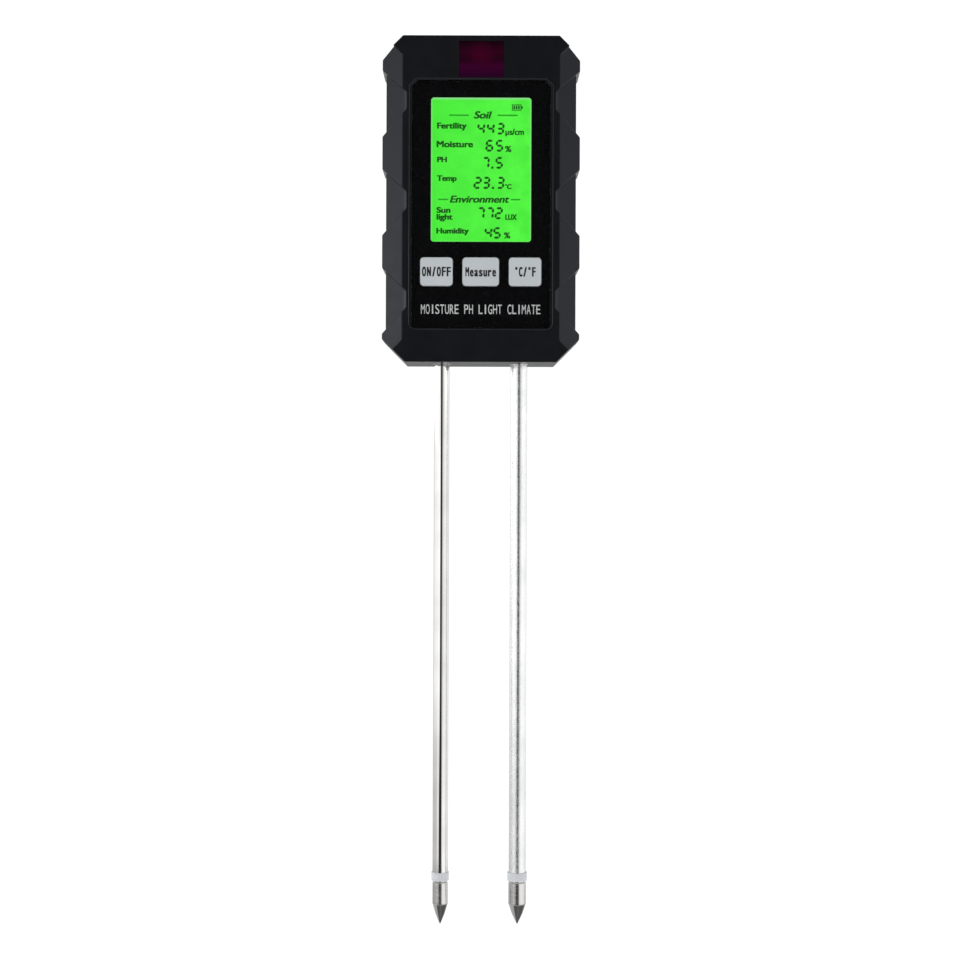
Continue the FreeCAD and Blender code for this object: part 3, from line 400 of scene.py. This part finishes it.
# The part of the display that the print leaves clear
VIEW_WIDTH = 36.3 * MM
VIEW_HEIGHT = 52.2 * MM
VIEW_MIDDLE_Z = 69.75 * MM
VIEW_LOW = Vector((-VIEW_WIDTH / 2, 0, VIEW_MIDDLE_Z - VIEW_HEIGHT / 2))
VIEW_HIGH = Vector((VIEW_WIDTH / 2, 0, VIEW_MIDDLE_Z + VIEW_HEIGHT / 2))

for finish, names in FINISHES.items():
    for name in names:
        coat(nodes[name], PALETTE[finish])
coat(nodes["display_lens"], CLEAR)
coat(nodes["panel_mask"], panel_print())
coat(nodes["sensor_window"], red_filter(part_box("sensor_window")))
coat(nodes["lcd_panel"], lit_display(VIEW_LOW, VIEW_HIGH))
coat(nodes["main_pcb"], circuit_board())
coat(nodes["batteries"], cell_jacket(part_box("batteries")))
for tip in ("steel_tip", "alloy_tip"):
    coat(nodes[tip], ground_point(tip + "_metal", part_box(tip)))


# ---------------------------------------------------------------- pieces made from the frame's own shapes

CASE_LOW, CASE_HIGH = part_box("front_cover")
FRONT_Y = CASE_LOW.y
CASE_TOP = CASE_HIGH.z
REAR_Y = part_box("rear_cover")[1].y
KEY_FRONT_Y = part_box("measure_key")[0].y
LENS_LOW, LENS_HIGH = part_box("display_lens")

ON_PLANE = 0.05 * MM  # how far off a plane a corner may lie and still count as on it
NEAR_END = 1 * MM
PARTING_ZONE = 0.5 * MM
WALL_X = 34.5 * MM
TOP_CORNER_CUT = 28 * MM
FOOT_CORNER_CUT = 27 * MM
BEVEL_INNER_X = 28.5 * MM
BEVEL_SLOPE = 0.8
BEVEL_MARGIN = 1.6 * MM
PANEL_RIM = 0.3 * MM
REAR_BEVEL_DEPTH = 4.1 * MM
PAST_SCREWS_X = 29.5 * MM
GROOVES_HALF_WIDTH = 4.6 * MM
GROOVES_LOW_Z = 70 * MM
GROOVES_HIGH_Z = 79.5 * MM


def on_outline(v):
    """On the case's outer wall, clear of the hollow and the seal groove inside it."""
    on_corner = abs(v.x) + v.z > CASE_TOP + TOP_CORNER_CUT or abs(v.x) - v.z > FOOT_CORNER_CUT
    return abs(v.x) > WALL_X or v.z < ON_PLANE or v.z > CASE_TOP - ON_PLANE or on_corner


def front_rim(v):
    """The display side's outer edges: bevels, grip recesses, ends, panel recess and parting line."""
    if v.y > -PARTING_ZONE:
        return on_outline(v)
    side = abs(v.x) - BEVEL_INNER_X
    outer = v.y < FRONT_Y + BEVEL_MARGIN + max(0, side) * BEVEL_SLOPE
    at_end = v.z < NEAR_END or v.z > CASE_TOP - NEAR_END
    in_panel_area = abs(v.x) < LENS_HIGH.x + PANEL_RIM and v.z < LENS_HIGH.z + PANEL_RIM
    in_panel_rim = v.y < FRONT_Y + ON_PLANE and in_panel_area
    return outer and (side > -BEVEL_MARGIN or at_end or in_panel_rim)


def rear_rim(v):
    """The battery side's outer edges, clear of the screw counterbores and the hatch opening."""
    if v.y < PARTING_ZONE:
        return on_outline(v)
    past_screws = abs(v.x) > PAST_SCREWS_X or v.z < NEAR_END or v.z > CASE_TOP - NEAR_END
    return v.y > REAR_Y - REAR_BEVEL_DEPTH and past_screws


def hatch_rim(v):
    """The battery cover's outer face, clear of its thumb grooves."""
    in_grooves = abs(v.x) < GROOVES_HALF_WIDTH and GROOVES_LOW_Z < v.z < GROOVES_HIGH_Z
    return v.y > REAR_Y - ON_PLANE and not in_grooves


def face_at(front_y):
    """A test for corners that lie on a flat front."""
    return lambda v: v.y < front_y + ON_PLANE


def rounded_copy(node, name, width, accepts, material, body, shortest=1.2 * MM):
    """A copy of a CAD node with its chosen sharp edges rounded; it stands for the node."""
    mesh = nodes[node].data.copy()
    shape = bmesh.new()
    shape.from_mesh(mesh)
    bmesh.ops.remove_doubles(shape, verts=shape.verts, dist=1e-6)
    bmesh.ops.dissolve_limit(shape, angle_limit=math.radians(1), verts=shape.verts, edges=shape.edges)
    chosen = []
    for edge in shape.edges:
        sharp = len(edge.link_faces) == 2 and edge.calc_face_angle(0) > math.radians(24)
        if sharp and edge.calc_length() > shortest and all(accepts(v.co) for v in edge.verts):
            chosen.append(edge)
    bmesh.ops.bevel(shape, geom=chosen, offset=width, offset_type="OFFSET", segments=3,
                    profile=0.5, affect="EDGES", clamp_overlap=False, miter_outer="ARC")
    for face in shape.faces:
        face.smooth = True
    shape.to_mesh(mesh)
    shape.free()
    # The import's own corner normals no longer fit the rounded mesh
    if "custom_normal" in mesh.attributes:
        mesh.attributes.remove(mesh.attributes["custom_normal"])
    piece = add_object(name, mesh)
    coat(piece, material)
    mesh.set_sharp_from_angle(angle=math.radians(32))
    piece.modifiers.new("even_shading", "WEIGHTED_NORMAL").keep_sharp = True
    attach(piece, body)
    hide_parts(node)
    return piece


def new_piece(name, body, material, shape):
    """A finished shape as a piece of its own."""
    mesh = bpy.data.meshes.new(name)
    shape.to_mesh(mesh)
    shape.free()
    piece = add_object(name, mesh)
    coat(piece, material)
    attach(piece, body)


rounded_copy("front_cover", "front_shell", 0.28 * MM, front_rim, PALETTE["case"], "meter")
rounded_copy("rear_cover", "rear_shell", 0.28 * MM, rear_rim, PALETTE["case"], "meter")
rounded_copy("battery_cover", "battery_hatch", 0.2 * MM, hatch_rim, PALETTE["case"], "hatch")
for key in ("power", "measure", "unit"):
    rounded_copy(key + "_key", key + "_key_cap", 0.3 * MM, face_at(KEY_FRONT_Y), PALETTE["key"],
                 key + "_button", shortest=0)
clear_panel = rounded_copy("display_lens", "clear_panel", 0.12 * MM, face_at(LENS_LOW.y), CLEAR,
                           "meter", shortest=0)

# The clear panel's back stands just off the print behind it, so that the two faces never share a plane
PRINT_GAP = 0.06 * MM
for v in clear_panel.data.vertices:
    if v.co.y > LENS_HIGH.y - ON_PLANE:
        v.co.y -= PRINT_GAP

LIP_AWAY = 1.0 * MM
LIP_NEARER_ENDS = 0.42 * MM
LIP_RADIUS = 0.15 * MM
LIP_SUNK = 0.02 * MM
LENS_CORNER_CUT = 2 * MM
LENS_CORNER_RADIUS = 1.5 * MM


def lip_outline(away):
    """The lens's outline pushed outwards: corners cut above and round below, as (x, z) points."""
    half = LENS_HIGH.x + away
    low = LENS_LOW.z - away + LIP_NEARER_ENDS
    high = LENS_HIGH.z + away - LIP_NEARER_ENDS
    cut = LENS_CORNER_CUT + 0.41 * away
    radius = LENS_CORNER_RADIUS + away
    turns = [math.radians(degrees) for degrees in range(0, 91, 15)]
    right = [(half - radius + radius * math.sin(turn), low + radius - radius * math.cos(turn))
             for turn in turns]
    right += [(half, high - cut), (half - cut, high)]
    return right + [(-x, z) for x, z in reversed(right)]


def panel_lip():
    """The fine raised bead that runs round the panel on the case's face."""
    shape = bmesh.new()
    loops = []
    for degrees in range(0, 181, 45):
        turn = math.radians(degrees)
        y = FRONT_Y + LIP_SUNK - LIP_RADIUS * math.sin(turn)
        outline = lip_outline(LIP_AWAY - LIP_RADIUS * math.cos(turn))
        loops.append([shape.verts.new((x, y, z)) for x, z in outline])
    for inner, outer in zip(loops, loops[1:] + loops[:1]):
        for step in range(len(inner)):
            after = (step + 1) % len(inner)
            face = shape.faces.new((inner[step], outer[step], outer[after], inner[after]))
            face.smooth = True
    bmesh.ops.recalc_face_normals(shape, faces=shape.faces)
    new_piece("panel_lip", "meter", PALETTE["lip"], shape)


panel_lip()


# ---------------------------------------------------------------- lettering

LAYER = 0.003 * MM  # depth between the stacked copies that thicken a letter
COPIES = [(across, up) for across in (0, 0.5, 1) for up in (0, 1)]
LETTER_DEPTH = 0.004  # half the thickness of a flat letter of size 1
THINNER = {"M": 0.7}  # letters whose strokes lie close together are thickened less
WIDEST_LETTER = 0.84  # of the room that each letter has
WIDEST_RING = 0.55


def glyphs(text, slant=0):
    """The outlines of some words as a flat mesh at size 1, text running along +X and up along +Y."""
    curve = bpy.data.curves.new("words", "FONT")
    curve.body = text
    curve.shear = slant
    curve.extrude = LETTER_DEPTH
    writer = add_object("words", curve)
    bpy.context.view_layer.update()
    mesh = bpy.data.meshes.new_from_object(writer.evaluated_get(bpy.context.evaluated_depsgraph_get()))
    bpy.data.objects.remove(writer)
    bpy.data.curves.remove(curve)
    return mesh


def across_span(mesh):
    """Where some words start and how wide they are at size 1."""
    xs = [v.co.x for v in mesh.vertices]
    return min(xs), max(xs) - min(xs)


def rise_for(cap, bold):
    """The scale that brings capitals to the height cap once they're thickened."""
    return (cap - bold / 2) / max(v.co.y for v in glyphs("H").vertices)


def add_letters(shape, mesh, bold, y, place):
    """Add flat words to a shape, thickened by bold; place() turns a point of the words into (x, z)."""
    for layer, (across, up) in enumerate(COPIES):
        first_new = len(shape.verts)
        shape.from_mesh(mesh)
        shape.verts.ensure_lookup_table()
        for v in shape.verts[first_new:]:
            x, z = place(v.co)
            v.co = Vector((x + across * bold, y - v.co.z * MM - layer * LAYER, z + up * bold / 2))


def lettering(name, text, left, width, base_z, cap, y, body, material, bold, slant):
    """Words facing -Y, as wide as told, with capitals of the height cap."""
    mesh = glyphs(text, slant)
    start, natural = across_span(mesh)
    stretch = (width - bold) / natural
    rise = rise_for(cap, bold)
    shape = bmesh.new()
    add_letters(shape, mesh, bold, y, lambda co: (left + (co.x - start) * stretch, base_z + co.y * rise))
    new_piece(name, body, material, shape)


def even_lettering(name, text, middle_x, pitch, base_z, cap, y, body, material, bold):
    """Words facing -Y in a narrow face whose letters all take the same room, as on a typewriter."""
    rise = rise_for(cap, bold)
    shape = bmesh.new()
    for index, letter in enumerate(text):
        if letter == " ":
            continue
        mesh = glyphs(letter)
        start, natural = across_span(mesh)
        widest = (WIDEST_RING if letter == "˚" else WIDEST_LETTER) * pitch
        weight = bold * THINNER.get(letter, 1)
        stretch = (min(widest, natural * rise) - weight) / natural
        left = middle_x + (index - (len(text) - 1) / 2) * pitch - (natural * stretch + weight) / 2
        add_letters(shape, mesh, weight, y,
                    lambda co: (left + (co.x - start) * stretch, base_z + co.y * rise))
    new_piece(name, body, material, shape)


# ---------------------------------------------------------------- key legends and panel legend

KEY_INK = ink("key_ink", (0.003, 0.003, 0.004), 0.6)
PANEL_INK = ink("panel_ink", (0.84, 0.85, 0.86), 0.5)
LEGEND_CAP = 3.4 * MM
KEY_LEGEND_DROP = 1.75 * MM  # from the key's middle down to the foot of its words
PANEL_LEGEND_Z = 17.5 * MM
PANEL_LEGEND_PITCH = 1.74 * MM
# The words on each key, and the room that each of their letters has
KEY_LEGENDS = {
    "power": ("ON/OFF", 1.78 * MM),
    "measure": ("Measure", 1.62 * MM),
    "unit": ("˚C/˚F", 1.58 * MM),
}
for key, (words, pitch) in KEY_LEGENDS.items():
    low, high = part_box(key + "_key")
    base_z = (low.z + high.z) / 2 - KEY_LEGEND_DROP
    even_lettering(key + "_legend", words, (low.x + high.x) / 2, pitch, base_z, LEGEND_CAP,
                   KEY_FRONT_Y - 0.004 * MM, key + "_button", KEY_INK, 0.32 * MM)
even_lettering("panel_legend", "MOISTURE PH LIGHT CLIMATE", 0, PANEL_LEGEND_PITCH, PANEL_LEGEND_Z, LEGEND_CAP,
               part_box("panel_mask")[0].y - 0.01 * MM, "meter", PANEL_INK, 0.04 * MM)


# ---------------------------------------------------------------- what the display shows

DISPLAY_INK = ink("display_ink", (0.0005, 0.05, 0.0005), 0.4, 1.0)
RULE_INK = ink("rule_ink", (0.006, 0.22, 0.006), 0.4, 1.0)
GLASS_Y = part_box("lcd_panel")[0].y - 0.02 * MM
INK_DEPTH = 0.01 * MM

# These tables are in mm from the view's upper left corner; each row of words is
# (piece, words, left edge, width, lower edge, height of its capitals)
TITLES = (
    ("soil_title", "Soil", 15.45, 6.6, 7.2, 2.65),
    ("room_title", "Environment", 6.8, 21.7, 37.75, 2.55),
)
LABELS = (
    ("fertility_label", "Fertility", 2.1, 10.8, 10.9, 2.2),
    ("moisture_label", "Moisture", 1.95, 13.3, 17.65, 2.3),
    ("ph_label", "PH", 2.15, 3.6, 23.1, 2.0),
    ("temperature_label", "Temp", 2.1, 7.2, 29.9, 2.05),
    ("sun_label", "Sun", 2.0, 5.1, 41.5, 2.1),
    ("light_label", "light", 2.0, 5.9, 43.95, 2.1),
    ("humidity_label", "Humidity", 1.95, 11.85, 49.0, 2.05),
)
UNITS = (
    ("fertility_unit", "µs/cm", 26.9, 6.8, 13.1, 2.2),
    ("moisture_unit", "%", 26.8, 2.35, 19.3, 2.2),
    ("temperature_unit", "˚C", 26.85, 2.4, 32.75, 1.75),
    ("light_unit", "LUX", 27.0, 4.2, 43.95, 2.0),
    ("humidity_unit", "%", 26.5, 2.35, 50.7, 2.2),
)
# (piece, digit height, lower edge, then each digit or point with its left edge)
READINGS = (
    ("fertility_reading", 4.3, 13.0, (("4", 16.5), ("4", 19.95), ("3", 23.5))),
    ("moisture_reading", 4.35, 19.2, (("6", 19.6), ("5", 23.2))),
    ("ph_reading", 4.3, 25.4, (("7", 18.2), (".", 21.8), ("5", 23.1))),
    ("temperature_reading", 4.45, 32.75, (("2", 15.3), ("3", 18.4), (".", 22.05), ("3", 23.6))),
    ("light_reading", 4.4, 43.75, (("7", 16.5), ("7", 19.8), ("2", 23.0))),
    ("humidity_reading", 4.2, 50.8, (("4", 19.25), ("5", 22.4))),
)
# (piece, middle height, then the left and right end of each rule)
RULES = (
    ("soil_rules", 6.0, ((6.5, 13.6), (24.1, 31.4))),
    ("room_rules", 36.6, ((2.6, 6.2), (29.0, 32.4))),
)
RULE_HEIGHT = 0.5
DIGIT_WIDTH = 2.85
STROKE = 0.8
GAP = 0.1
DIGIT_LEAN = math.tan(math.radians(5))
SEGMENTS = {"2": "abged", "3": "abgcd", "4": "fgbc", "5": "afgcd", "6": "afgcde", "7": "abc"}
ICON_LEFT = 29.3
ICON_MIDDLE = 3.15
ICON_WIDE = 3.9
ICON_TALL = 2.2
ICON_LINE = 0.3
ICON_NOSE = 0.5
ICON_BAR = 0.6


def flat_shape(shape, corners, left, base, lean=0.0):
    """Add a thin flat plate with these corners to a shape; they are in mm from its lower left."""
    front = [shape.verts.new((VIEW_LOW.x + (left + x + z * lean) * MM, GLASS_Y - INK_DEPTH,
                              VIEW_HIGH.z + (z - base) * MM)) for x, z in corners]
    face = shape.faces.new(front)
    for item in bmesh.ops.extrude_face_region(shape, geom=[face])["geom"]:
        if isinstance(item, bmesh.types.BMVert):
            item.co.y = GLASS_Y


def rectangle(x0, z0, x1, z1):
    return (x0, z0), (x1, z0), (x1, z1), (x0, z1)


def segment_outline(start, end):
    """A display segment between two points of a digit: a strip whose ends come to a point."""
    (x0, z0), (x1, z1) = start, end
    length = math.hypot(x1 - x0, z1 - z0)
    along = ((x1 - x0) / length, (z1 - z0) / length)
    across = (-along[1], along[0])
    half = STROKE / 2
    outline = []
    for run, side in ((GAP, 0), (GAP + half, -half), (length - GAP - half, -half), (length - GAP, 0),
                      (length - GAP - half, half), (GAP + half, half)):
        outline.append((x0 + along[0] * run + across[0] * side, z0 + along[1] * run + across[1] * side))
    return outline


def digit_segments(tall):
    """The ends of a digit's seven segments, by their usual letters."""
    inset = STROKE / 2
    left, right = inset, DIGIT_WIDTH - inset
    low, middle, high = inset, tall / 2, tall - inset
    return {"a": ((left, high), (right, high)), "b": ((right, middle), (right, high)),
            "c": ((right, low), (right, middle)), "d": ((left, low), (right, low)),
            "e": ((left, low), (left, middle)), "f": ((left, middle), (left, high)),
            "g": ((left, middle), (right, middle))}


def reading(name, tall, base, digits):
    """One number on the display, from its digits and points with the left edge of each."""
    shape = bmesh.new()
    segments = digit_segments(tall)
    for digit, left in digits:
        if digit == ".":
            flat_shape(shape, rectangle(0, 0, STROKE, STROKE), left, base, DIGIT_LEAN)
        else:
            for letter in SEGMENTS[digit]:
                flat_shape(shape, segment_outline(*segments[letter]), left, base, DIGIT_LEAN)
    new_piece(name, "meter", DISPLAY_INK, shape)


def display_words(rows, bold, slant=0):
    """The words of one table, each row a piece, with strokes thickened by bold."""
    for name, words, left, width, base, cap in rows:
        lettering(name, words, VIEW_LOW.x + left * MM, width * MM, VIEW_HIGH.z - base * MM, cap * MM,
                  GLASS_Y, "meter", DISPLAY_INK, bold, slant)


def battery_icon():
    """A cell with a nose at its right end, and three bars of charge inside."""
    body = ICON_WIDE - ICON_NOSE
    top = ICON_TALL - ICON_LINE
    plates = [(0, 0, body, ICON_LINE), (0, top, body, ICON_TALL), (0, ICON_LINE, ICON_LINE, top),
              (body - ICON_LINE, ICON_LINE, body, top), (body, 0.65, ICON_WIDE, ICON_TALL - 0.65)]
    plates += [(left, 0.5, left + ICON_BAR, ICON_TALL - 0.5) for left in (0.5, 1.35, 2.2)]
    shape = bmesh.new()
    for plate in plates:
        flat_shape(shape, rectangle(*plate), ICON_LEFT, ICON_MIDDLE + ICON_TALL / 2)
    new_piece("battery_icon", "meter", DISPLAY_INK, shape)


display_words(TITLES, 0.3 * MM, slant=0.25)
display_words(LABELS, 0.33 * MM)
display_words(UNITS, 0.25 * MM)
for row in READINGS:
    reading(*row)
for name, middle_down, spans in RULES:
    shape = bmesh.new()
    for start, end in spans:
        flat_shape(shape, rectangle(start, 0, end, RULE_HEIGHT), 0, middle_down + RULE_HEIGHT / 2)
    new_piece(name, "meter", RULE_INK, shape)
battery_icon()


# ---------------------------------------------------------------- floor, light and camera

FLOOR_HALF = 1.0
FLOOR_DROP = 0.35
SEEN_WHITE = 1.05
CAMERA_PLACE = (0, -0.66, -0.0426)
CAMERA_ROLL = 0.2
FOCAL_LENGTH = 67.1

# Light from round about, overhead light of 1 giving way to each band in turn on the way down. Each
# band starts at its first height and is complete at its second, as Z of the direction; then come
# (azimuth in degrees, brightness) pairs. Azimuth 0 is behind the camera and 90 to its right.
LIGHT_BANDS = (
    (0.95, 0.8, ((-180, 0.62), (-150, 0.8), (-110, 0.8), (-60, 0.8), (-17, 1.0), (-12, 0.02), (11, 0.02),
                 (18, 0.6), (35, 0.9), (60, 0.75), (85, 0.55), (125, 0.8), (150, 0.8), (180, 0.62))),
    (0.185, 0.07, ((-180, 0.62), (-150, 0.8), (-110, 4.7), (-60, 5.0), (-35, 1.3), (-15, 1.05), (-10, 0.02),
                   (9, 0.02), (16, 0.6), (35, 1.15), (60, 1.9), (85, 1.85), (125, 1.1), (180, 0.62))),
    (0.06, 0.02, ((-180, 0.62), (-150, 0.8), (-110, 1.25), (-60, 1.35), (-16, 1.5), (-11, 0.02), (9, 0.02),
                  (16, 0.6), (35, 1.15), (60, 1.3), (85, 1.15), (125, 1.2), (150, 0.9), (180, 0.62))),
    (-0.11, -0.175, ((-180, 0.6), (-110, 0.72), (-56, 0.76), (-48, 1.1), (-25, 1.1), (-19, 0.04),
                     (14, 0.02), (20, 0.9), (35, 1.35), (90, 1.25), (125, 1.2), (180, 0.6))),
    (-0.206, -0.222, ((-180, 0.4), (-110, 0.42), (-60, 0.4), (-44, 0.32), (-40, 0.1), (-10, 0.06),
                      (24, 0.12), (30, 1.2), (60, 1.3), (100, 1.1), (125, 0.5), (180, 0.4))),
)


def pale_floor():
    n = material_nodes("pale_floor")
    tone = n.cloudy(n.noise(n.position(), 3, 2), (0.86, 0.86, 0.86), (0.89, 0.89, 0.89))
    shader = n.principled(Roughness=0.8, Specular_IOR_Level=0.1, Emission_Strength=0.35)
    n.link(tone, shader.inputs["Base Color"])
    n.link(tone, shader.inputs["Emission Color"])
    return n.finish(shader)


def studio_world():
    """Soft light all round, with a tall dark gap behind the camera; the camera itself sees white."""
    n = Nodes(bpy.data.worlds.new("studio"))
    x, y, z = n.axes("Generated")
    turn = n.azimuth(x, y)
    around = n.ramp(turn, (0, (1, 1, 1)), (1, (1, 1, 1)))
    for high, low, levels in LIGHT_BANDS:
        stops = [(0.5 + degrees / 360, (level, level, level)) for degrees, level in levels]
        around = n.mix(n.spread(z, 1, 0, low, high), around, n.ramp(turn, *stops))
    light = n.add("ShaderNodeBackground")
    n.link(around, light.inputs["Color"])
    white = n.add("ShaderNodeBackground")
    white.inputs["Color"].default_value = (SEEN_WHITE, SEEN_WHITE, SEEN_WHITE, 1)
    seen = n.add("ShaderNodeLightPath").outputs["Is Camera Ray"]
    return n.finish(n.mix_shaders(seen, light, white), "ShaderNodeOutputWorld")


scene.world = studio_world()
scene.view_settings.view_transform = "Standard"

floor_z = CAD_BOUNDS[0][2] - FLOOR_DROP
floor_corners = [(-1, -1), (1, -1), (1, 1), (-1, 1)]
floor_mesh = bpy.data.meshes.new("floor")
floor_mesh.from_pydata([(x * FLOOR_HALF, y * FLOOR_HALF, floor_z) for x, y in floor_corners], [],
                       [(0, 1, 2, 3)])
floor = add_object("floor", floor_mesh)
coat(floor, pale_floor())

lens = bpy.data.cameras.new("camera")
lens.lens = FOCAL_LENGTH
camera = add_object("camera", lens)
camera.matrix_world = (Matrix.Translation(CAMERA_PLACE) @ Matrix.Rotation(math.radians(90), 4, "X")
                       @ Matrix.Rotation(math.radians(CAMERA_ROLL), 4, "Z"))
scene.camera = camera

bpy.context.view_layer.update()
